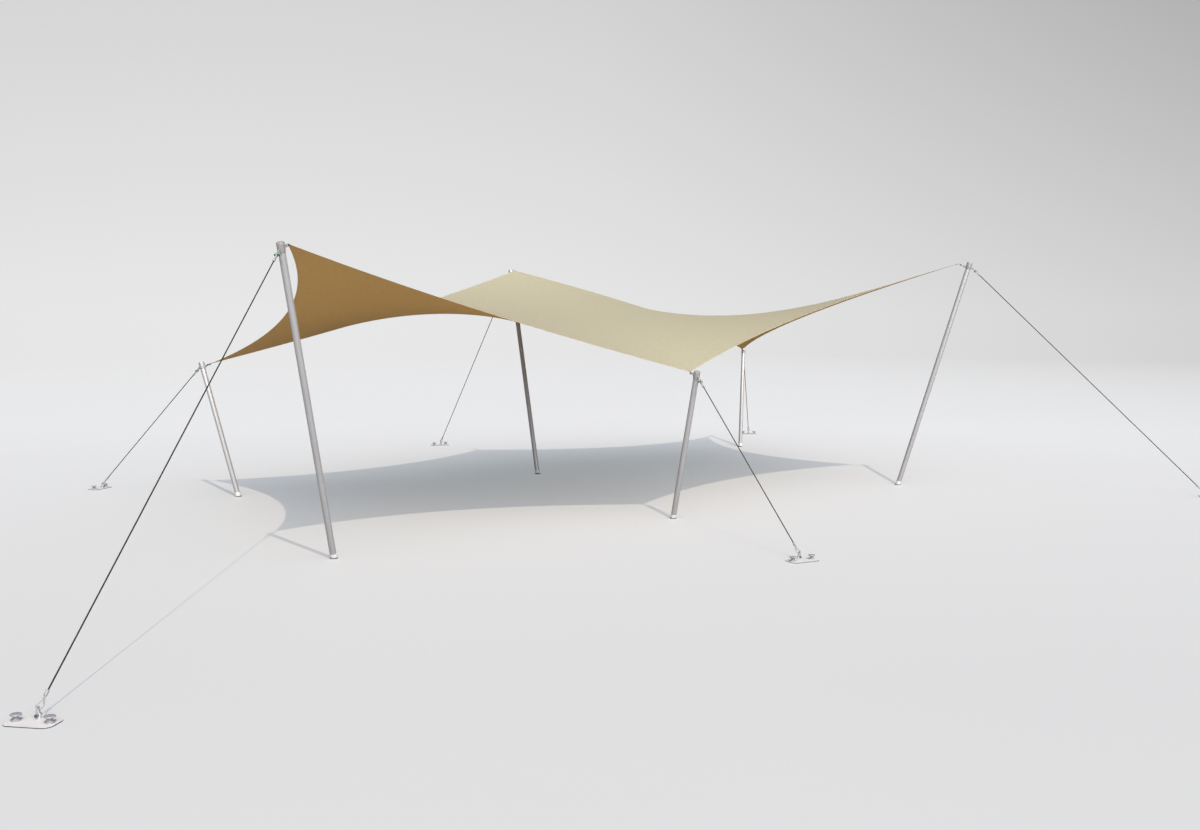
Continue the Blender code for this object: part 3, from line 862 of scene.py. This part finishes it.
def lug_mesh(reach):
    """A flat lug along X, round at its end, with its hole so far from its root."""
    outline = [(0.0, -LUG_RADIUS), *arc((reach, 0.0), LUG_RADIUS, -90, 90, 20), (0.0, LUG_RADIUS)]
    hole = arc((reach, 0.0), LUG_HOLE, 0, 360, 28)[:-1]
    return flat_piece([outline, hole], LUG_THICKNESS, 0.0012)


def head_parts(place):
    """The cap of a pole with its two lugs."""
    inner = POLE_RADIUS + FIT_GAP
    outline = [(0.0, -CAP_TOP), (inner, -CAP_TOP), (inner, -CAP_LENGTH), (CAP_RADIUS, -CAP_LENGTH),
               (CAP_RADIUS, 0.0), (0.0, 0.0)]
    parts = [(turned(softened(outline, 0.0025)), place, 0)]
    stand_off = CAP_RADIUS - 0.002
    lug = lug_mesh(LUG_REACH - stand_off)
    for turn in (0.0, math.pi):
        out = Matrix.Translation((stand_off, 0.0, -LUG_DROP)) @ Matrix.Rotation(math.pi / 2, 4, "X")
        parts.append((lug, place @ Matrix.Rotation(turn, 4, "Z") @ out, 0))
    return parts


def weld_path():
    """The line round the root of a lug, in the cap's frame, with the way that its bead faces."""
    points = []
    facing = []
    half = LUG_THICKNESS / 2
    root = [(-half, -LUG_RADIUS), (half, -LUG_RADIUS), (half, LUG_RADIUS), (-half, LUG_RADIUS)]
    for y, z in softened(root, 0.002, closed=True):
        points.append(Vector((math.sqrt(CAP_RADIUS ** 2 - y * y), y, z - LUG_DROP)))
        facing.append(Vector((1.0, y / half, z / LUG_RADIUS)).normalized())
    return points + points[:1], facing + facing[:1]


def build_weld(corner, looks):
    """The weld beads round the roots of the lugs."""
    paths = []
    facings = []
    points, facing = weld_path()
    for turn in (0.0, math.pi):
        place = corner.head @ Matrix.Rotation(turn, 4, "Z")
        paths.append([place @ point for point in points])
        facings.append([place.to_3x3() @ way for way in facing])
    mesh = grown(looks["bead_row"], path_mesh(paths, facings), pitch=0.0022,
                 bead_size=(0.0042, 0.0046, 0.0036), look=looks["head"])
    return settle("cap_weld_" + corner.name, mesh, [looks["head"]])


def pole_mesh(length):
    """The tube of a pole, with the run round it and along it for its draw lines."""
    inner = POLE_RADIUS - POLE_WALL
    bottom = SOCKET_FLOOR + FIT_GAP
    top = length - CAP_TOP - FIT_GAP
    wall = [(POLE_RADIUS, bottom), (POLE_RADIUS, top), (inner, top), (inner, bottom)]
    mesh = turned(softened(wall, 0.0008, True), 64, closed=True)
    around = mesh.attributes.new("round", "FLOAT", "POINT")
    along = mesh.attributes.new("along", "FLOAT", "POINT")
    for vertex in mesh.vertices:
        x, y, z = vertex.co
        around.data[vertex.index].value = abs(math.atan2(y, x)) / math.pi
        along.data[vertex.index].value = z
    return mesh


def foot_parts(corner):
    """A socket that leans with its pole, on a round sole."""
    inner = POLE_RADIUS + FIT_GAP
    lean = Matrix.Rotation(corner.lean, 4, "Y")
    outline = [(0.0, 0.004), (SOCKET_RADIUS, 0.004), (SOCKET_RADIUS, SOCKET_TOP),
               (inner, SOCKET_TOP), (inner, SOCKET_FLOOR), (0.0, SOCKET_FLOOR)]
    cup = turned(softened(outline, 0.0015))
    work = bmesh.new()
    work.from_mesh(cup)
    bmesh.ops.transform(work, matrix=lean, verts=work.verts)
    for vertex in work.verts:
        vertex.co.z = max(vertex.co.z, SOLE_THICKNESS * 0.5)
    work.to_mesh(cup)
    work.free()
    # The sole under the socket takes a dark finish.
    sole = round_bar(SOLE_RADIUS, 0.0, SOLE_THICKNESS, 0.002)
    return [(cup, corner.ground, 0), (sole, corner.ground, 1)]


def shackle_bow():
    """The bent rod and ears of a shackle, with its pin line along Y through the origin."""
    bow = [(0.0, y, z) for y, z in arc((0.0, LEG_LENGTH), BOW_RADIUS, 0, 180, 20)]
    path = [(0.0, BOW_RADIUS, 0.0), (0.0, BOW_RADIUS, LEG_LENGTH / 2), *bow,
            (0.0, -BOW_RADIUS, LEG_LENGTH / 2), (0.0, -BOW_RADIUS, 0.0)]
    parts = [bent_rod(path, ROD_RADIUS)]
    for side in (-BOW_RADIUS, BOW_RADIUS):
        made = round_bar(EAR_RADIUS, -ROD_RADIUS, ROD_RADIUS, 0.0018, 28)
        made.transform(Matrix.Translation((0, side, 0)) @ Matrix.Rotation(math.pi / 2, 4, "X"))
        parts.append(made)
    return parts


def shackle_pin():
    """The pin of a shackle: a nut at one end, and a flat round head at the other."""
    ear = BOW_RADIUS + ROD_RADIUS + FIT_GAP
    pin = round_bar(PIN_RADIUS, -ear, ear + PIN_OVERHANG, 0.0012, 24)
    grip = round_bar(HEAD_RADIUS, -ear - HEAD_DEPTH, -ear, 0.0016, 28)
    nut = round_bar(NUT_RADIUS, ear, ear + NUT_DEPTH, 0.0014, 6)
    lay = Matrix.Rotation(-math.pi / 2, 4, "X")
    for made in (pin, grip, nut):
        made.transform(lay)
    return [pin, grip, nut]


def eye_path(radius, neck):
    """A teardrop in the XZ plane round the origin, with its legs side by side at the neck."""
    leg = ROD_RADIUS * 0.9
    bend = [(x, 0.0, z) for x, z in arc((0.0, 0.0), radius, 25, -205, 28)]
    start = np.array(bend[0])
    end = np.array([leg, 0.0, neck])
    lead = []
    turn = math.radians(25)
    pull = start + np.array([-math.sin(turn), 0.0, math.cos(turn)]) * neck * 0.35
    hold = end - np.array([0.0, 0.0, neck * 0.30])
    for share in np.linspace(0.0, 1.0, 8)[:-1]:
        point = ((1 - share) ** 3 * end + 3 * (1 - share) ** 2 * share * hold
                 + 3 * (1 - share) * share ** 2 * pull + share ** 3 * start)
        lead.append(tuple(point))
    back = [(-x, y, z) for x, y, z in lead[::-1]]
    return [(leg, 0.0, neck + 0.006), *lead, *bend, *back, (-leg, 0.0, neck + 0.006)]


def ferrule_profile(start, end):
    """A swaged sleeve with crimp grooves."""
    points = [(0.0, start), (FERRULE_RADIUS * 0.86, start)]
    grooves = 4
    step = (end - start) / grooves
    for i in range(grooves):
        low = start + i * step
        points += [(FERRULE_RADIUS, low + step * 0.22), (FERRULE_RADIUS, low + step * 0.72),
                   (FERRULE_RADIUS * 0.88, low + step * 0.90)]
    points += [(FERRULE_RADIUS * 0.80, end), (0.0, end)]
    return softened(points, 0.0012)


def rope_end(radius, neck):
    """A steel eye and its ferrule. The eye is round the origin, and the ferrule is above its neck."""
    return [bent_rod(eye_path(radius, neck), ROD_RADIUS),
            turned(ferrule_profile(neck, neck + FERRULE_LENGTH), 32)]


def build_guy(corner, looks):
    """The rope of a corner and the steel eyes at both its ends."""
    low = EYE_IN_BOW + LOWER_EYE_RADIUS
    high = corner.guy_span - PIN_SPAN + EYE_ON_PIN - UPPER_EYE_RADIUS
    lower = Matrix.Translation((0, 0, low)) @ Matrix.Rotation(math.pi / 2, 4, "Z")
    upper = Matrix.Translation((0, 0, high)) @ Matrix.Rotation(math.pi, 4, "Y")
    parts = [(mesh, corner.rope @ lower, 0) for mesh in rope_end(LOWER_EYE_RADIUS, LOWER_EYE_NECK)]
    parts += [(mesh, corner.rope @ upper, 0) for mesh in rope_end(UPPER_EYE_RADIUS, UPPER_EYE_NECK)]
    piece("rope_ends_" + corner.name, parts, [looks["steel"]])
    start = low + LOWER_EYE_NECK + FERRULE_LENGTH - 0.008
    end = high - UPPER_EYE_NECK - FERRULE_LENGTH + 0.008
    path = path_mesh([[corner.rope @ Vector((0, 0, start)), corner.rope @ Vector((0, 0, end))]])
    share = math.sin(math.pi / ROPE_STRANDS)
    strand = ROPE_RADIUS * share / (1 + share) * 1.04
    mesh = grown(looks["laid_rope"], path, strands=ROPE_STRANDS, strand_radius=strand,
                 centre_radius=ROPE_RADIUS - strand, lay=ROPE_LAY, step=ROPE_LAY / 8, look=looks["rope"])
    settle("guy_line_" + corner.name, mesh, [looks["rope"]], "guy_rope_" + corner.name, 60.0)


def plate_ring(inset, height):
    """A rectangle with round corners, long in Y, so far in from the plate's side."""
    ring = []
    for turn, x, y in ((0, 1, 1), (90, -1, 1), (180, -1, -1), (270, 1, -1)):
        centre = (x * (PLATE_DEPTH / 2 - PLATE_CORNER), y * (PLATE_LENGTH / 2 - PLATE_CORNER))
        ring += [(x, y, height) for x, y in arc(centre, PLATE_CORNER - inset, turn, turn + 90, 10)]
    return ring


def plate_mesh():
    """The plate, from the middle of its underside over its rounded rim to the middle of its top."""
    top = PLATE_THICKNESS
    rings = [plate_ring(inset, height) for inset, height in softened(
        [(0.045, 0.0), (0.012, 0.0), (0.0, 0.0), (0.0, top), (0.012, top), (0.045, top)], 0.0016)]
    middle = [[(0.0, 0.0, height)] * len(rings[0]) for height in (0.0, top)]
    return lofted([middle[0], *rings, middle[1]])


def build_anchor(corner, looks):
    """The ground plate with its eye, and its two pegs."""
    parts = [(plate_mesh(), corner.anchor @ Matrix.Translation((EYE_OFFSET, 0, 0)), 0)]
    eye = lug_mesh(EYE_HEIGHT - PLATE_THICKNESS / 2)
    stand = Matrix.Translation((0, 0, PLATE_THICKNESS / 2)) @ Matrix.Rotation(-math.pi / 2, 4, "Y")
    parts.append((eye, corner.anchor @ stand, 0))
    plate_piece = piece("anchor_plate_" + corner.name, parts, [looks["plate"], looks["plate_edge"]],
                        "ground_anchor_" + corner.name)
    # The plate's upright sides take the dark side finish, so the rim is darker than the top.
    for face in plate_piece.data.polygons:
        if abs(face.normal.z) < 0.5 and face.center.z < PLATE_THICKNESS:
            face.material_index = 1
    pegs = []
    for side in (-0.5, 0.5):
        place = corner.anchor @ Matrix.Translation((EYE_OFFSET, side * PEG_SPACING, 0))
        pegs.append((turned(softened(PEG_PROFILE, 0.0025), 40), place, 0))
    piece("anchor_pegs_" + corner.name, pegs, [looks["peg"]])


def tip_frames(net):
    """At each tip: the way from it into the cloth, and the way across the cloth there."""
    frames = []
    edges = canopy_edges(net)
    columns, rows = net.shape[:2]
    for number, edge in enumerate(edges):
        tip = edge[0]
        after = net[edge[1]] - net[tip]
        before = net[edges[number - 1][-2]] - net[tip]
        inner = (min(max(tip[0], 1), columns - 2), min(max(tip[1], 1), rows - 2))
        inward = net[inner] - net[tip]
        inward /= np.linalg.norm(inward)
        across = before / np.linalg.norm(before) - after / np.linalg.norm(after)
        across -= inward * across.dot(inward)
        frames.append((inward, across / np.linalg.norm(across)))
    return frames


def webbing_strap(corner, inward, across):
    """A strap from one face of a canopy tip, round the pin of its shackle, to the other face.
    Also the lines of its stitches, and the way that they face."""
    pin = np.array(corner.loop.translation)
    forward, axle, lift = (np.array(corner.loop.to_3x3().col[axis]) for axis in range(3))
    if axle.dot(across) < 0:
        across = -across
    tip = np.array(corner.tip)
    over = np.cross(inward, across)
    bend = PIN_RADIUS + FIT_GAP + WEBBING_THICKNESS / 2
    rest = CLOTH_THICKNESS / 2 + HEM_RISE + WEBBING_THICKNESS / 2
    path = []
    stitches = []
    for side in (1, -1):
        laps = [(tip + inward * reach + over * side * rest, across, over * side)
                for reach in (WEBBING_LAP, WEBBING_LAP / 2, 0.004)]
        start, end = (75, 180) if side > 0 else (180, 285)
        turn = [(pin + bend * (forward * x + lift * z), axle, forward * x + lift * z)
                for x, z in arc((0.0, 0.0), 1.0, start, end, 12)]
        path += laps + turn if side > 0 else turn[1:] + laps[::-1]
        for shift in (-0.3, 0.3):
            lid = over * side * (rest + WEBBING_THICKNESS / 2) + across * shift * WEBBING_WIDTH
            line = [tip + inward * reach + lid for reach in (0.005, WEBBING_LAP - 0.003)]
            stitches.append((line, [over * side] * 2))
    rings = []
    run = 0.0
    marks = []
    for number, (centre, width, out) in enumerate(path):
        run += np.linalg.norm(centre - path[max(number - 1, 0)][0])
        rings.append([centre + width * y * WEBBING_WIDTH / 2 + out * z * WEBBING_THICKNESS / 2
                      for y, z in WEBBING_SECTION])
        marks += [(run, y * WEBBING_WIDTH / 2) for y, z in WEBBING_SECTION]
    strap = lofted(rings, caps=True)
    map_cloth(strap, marks)
    return strap, stitches


def build_corner(corner, looks):
    name = corner.name
    piece("pole_tube_" + name, [(pole_mesh(corner.length), corner.pole, 0)], [looks["pole"]],
          "pole_" + name)
    piece("cap_" + name, head_parts(corner.head), [looks["head"]], "pole_cap_" + name)
    build_weld(corner, looks)
    piece("foot_" + name, foot_parts(corner), [looks["foot"], looks["sole"]], "pole_foot_" + name)
    for label, place, node, pin_look, pin_slot in (
            ("canopy_link", corner.canopy_pin, "canopy_shackle_", "dark_pin", "steel"),
            ("guy_link", corner.guy_pin, "guy_shackle_", "green_pin", "green_steel"),
            ("anchor_link", corner.anchor_pin, "anchor_shackle_", "dark_pin", "steel")):
        rod, *ears = shackle_bow()
        bow = [(rod, place, 0), *((ear, place, 1) for ear in ears)]
        ear_look = looks["green_pin"] if pin_slot == "green_steel" else looks["steel"]
        piece(label + "_bow_" + name, bow, [looks["steel"], ear_look], node + name)
        pin = [(mesh, place, 0) for mesh in shackle_pin()]
        piece(label + "_pin_" + name, pin, [looks[pin_look]])
    build_guy(corner, looks)
    build_anchor(corner, looks)


def build_webbing(corners, net, looks):
    """A strap and its stitches at each tip."""
    parts = []
    paths = []
    facings = []
    for corner, frame in zip(corners, tip_frames(net)):
        strap, stitches = webbing_strap(corner, *frame)
        parts.append((strap, Matrix(), 0))
        paths += [line for line, facing in stitches]
        facings += [facing for line, facing in stitches]
    straps = piece("tip_webbing", parts, [looks["webbing"]])
    rows = grown(looks["bead_row"], path_mesh(paths, facings), pitch=0.005,
                 bead_size=(0.0034, 0.0012, 0.0010), look=looks["dark_thread"])
    return [straps, settle("tip_stitches", rows, [looks["dark_thread"]])]


def finishes():
    """Every finish on the tent by a plain name, and the two geometry trees that its pieces share."""
    top = (0.40, 0.385, 0.27, 1.0)
    # The underside's tint is partly the cloth's own colour and partly painted light coming through the
    # cloth; the hem's underside takes it too.
    underside_tint_with_painted_glow = (0.785, 0.488, 0.161, 1.0)
    return {
        "cloth_top": cloth_finish("cloth top", top, 0.06, 0.12),
        "cloth_under": cloth_finish("cloth underside", underside_tint_with_painted_glow, 0.02, 0.05),
        "hem_top": cloth_finish("hem top", shade(top, 0.97), 0.15, 0.05),
        "hem_under": cloth_finish("hem underside", shade(underside_tint_with_painted_glow, 0.95), 0.10, 0.05),
        "webbing": cloth_finish("tip webbing", (0.27, 0.26, 0.24, 1.0), 0.05, 0.02),
        "thread": metal_finish("hem thread", shade(top, 0.85), 0.80, 0.0, grain=900.0, wear=0.15),
        "dark_thread": metal_finish("strap thread", (0.12, 0.12, 0.115, 1.0), 0.80, 0.0,
                                    grain=900.0, wear=0.15),
        "pole": pole_finish("pole aluminium", (0.49, 0.503, 0.503, 1.0)),
        "head": metal_finish("cap aluminium", (0.43, 0.43, 0.42, 1.0), 0.42, 0.40, wear=0.06),
        "foot": plastic_finish("foot plastic", (0.68, 0.70, 0.70, 1.0), 0.48, dirt=0.20),
        "sole": plastic_finish("sole rubber", (0.10, 0.11, 0.105, 1.0), 0.75, dirt=0.3),
        "steel": metal_finish("galvanised steel", (0.35, 0.36, 0.37, 1.0), 0.45, 0.35,
                              grain=90.0, wear=0.26),
        "dark_pin": metal_finish("dark zinc pin", (0.12, 0.12, 0.125, 1.0), 0.42, 0.70),
        "green_pin": metal_finish("green pin paint", (0.015, 0.17, 0.045, 1.0), 0.45, 0.10),
        "rope": rope_finish("grey rope", (0.019, 0.019, 0.0175, 1.0)),
        "plate": metal_finish("pale plate paint", (0.61, 0.62, 0.635, 1.0), 0.50, 0.05, grain=200.0,
                              bare=(0.36, 0.35, 0.35, 1.0)),
        "plate_edge": metal_finish("bare plate edge", (0.15, 0.145, 0.145, 1.0), 0.50, 0.30),
        "peg": metal_finish("peg zinc", (0.30, 0.30, 0.325, 1.0), 0.45, 0.20, grain=110.0, wear=0.26),
        "bead_row": bead_row_tree(),
        "laid_rope": laid_rope_tree(),
    }


def build_camera():
    data = bpy.data.cameras.new("camera")
    data.lens = LENS
    data.sensor_width = 36.0
    data.clip_end = 500.0
    camera = bpy.data.objects.new("camera", data)
    camera.location = CAMERA_PLACE
    camera.rotation_euler = (math.radians(90 + CAMERA_PITCH), 0.0, math.radians(CAMERA_HEADING))
    bpy.context.scene.collection.objects.link(camera)
    bpy.context.scene.camera = camera


def build_floor():
    """A pale floor that fades away in the distance."""
    mesh = bpy.data.meshes.new("floor")
    rim = [(x, y, -0.0005) for x, y in arc((0.0, 0.0), FLOOR_RADIUS, 0, 360, 96)[:-1]]
    mesh.from_pydata(rim, [], [tuple(range(len(rim)))])
    look = Finish("studio floor", roughness=0.6, specular=0.35)
    cloudy = look.noise(look.place, 0.12, 2.0, 0.5)
    seen = look.node("ShaderNodeLightPath", output="Is Camera Ray")
    share = look.ramp(seen, 0.0, 1.0, FLOOR_BOUNCE, 1.0)
    look.set("Base Color", look.arrow("SCALE", FLOOR_TINT, (0.98 + 0.04 * cloudy) * share))
    turn = math.radians(CAMERA_HEADING)
    depth = look.arrow("DOT_PRODUCT", look.place, (-math.sin(turn), math.cos(turn), 0.0), "Value")
    look.set("Emission Color", look.blend(look.ramp(depth, -9.0, 9.0), NEAR_GLOW, FAR_GLOW))
    look.set("Emission Strength", seen)
    distance = look.arrow("LENGTH", look.place, output="Value")
    look.set("Alpha", look.ramp(distance, FLOOR_CLEAR, FLOOR_RADIUS, 1.0, 0.0))
    mesh.materials.append(look.material)
    floor = bpy.data.objects.new("studio_floor", mesh)
    bpy.context.scene.collection.objects.link(floor)


def build_sun():
    data = bpy.data.lights.new("sun", "SUN")
    data.energy = SUN_STRENGTH
    data.angle = math.radians(0.6)
    data.color = SUN_TINT
    sun = bpy.data.objects.new("sun", data)
    sun.rotation_euler = (math.radians(90 - SUN_HEIGHT), 0.0, math.radians(SUN_HEADING))
    bpy.context.scene.collection.objects.link(sun)


def build_sky():
    """Soft light that is brightest on the side of the sun, and a plain pale grey behind the tent."""
    world = bpy.data.worlds.new("studio")
    world.use_nodes = True
    bpy.context.scene.world = world
    graph = Graph(world.node_tree)
    way = graph.node("ShaderNodeTexCoord", output="Generated")
    above = graph.ramp(graph.node("ShaderNodeSeparateXYZ", None, {0: way}).also("Z"), 0.0, 1.0)
    lean = Matrix.Rotation(math.radians(SKY_LEAN), 3, "X")
    middle = Matrix.Rotation(math.radians(SUN_HEADING), 3, "Z") @ lean @ Vector((0.0, 0.0, 1.0))
    near = graph.ramp(graph.arrow("DOT_PRODUCT", way, tuple(middle), "Value"), 0.0, 1.0)
    light = graph.blend(near ** SKY_GATHERING, SKY_LOW, SKY_HIGH)
    turn = math.radians(CAMERA_HEADING)
    aside = graph.arrow("DOT_PRODUCT", way, (math.cos(turn), math.sin(turn), 0.0), "Value")
    across = graph.ramp(aside, -0.45, 0.45, -0.45, 0.45)
    right = graph.ramp(aside, 0.0, 0.45, 0.0, 0.45)
    seen = 0.785 - (0.16 + 0.30 * across) * across - 0.55 * above - 0.85 * right * above
    backdrop = graph.node("ShaderNodeCombineColor", None, {0: seen, 1: seen, 2: seen * 1.003})
    camera_ray = graph.node("ShaderNodeLightPath", output="Is Camera Ray")
    background = world.node_tree.nodes["Background"]
    graph.feed(background.inputs["Color"], graph.blend(camera_ray, light, backdrop))
    bpy.context.scene.view_settings.view_transform = "Standard"


def main():
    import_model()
    low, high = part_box("anchor_shackle_front_left")
    _, _, x, y, heading, _, reach = CORNERS[0]
    turn = math.radians(heading)
    eye = Vector((x + reach * math.cos(turn), y + reach * math.sin(turn)))
    site = Vector(((low.x + high.x) / 2 - eye.x, (low.y + high.y) / 2 - eye.y, 0))
    corners = [Corner(site, *row) for row in CORNERS]
    build_camera()
    build_floor()
    build_sun()
    build_sky()
    looks = finishes()
    cloth, net = build_canopy(corners, looks)
    trims = build_hem(net, cloth_ups(net), looks)
    trims += build_webbing(corners, net, looks)
    for corner in corners:
        build_corner(corner, looks)
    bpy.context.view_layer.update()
    area = sum(face.area for face in cloth.data.polygons) / CLOTH_FACES


main()
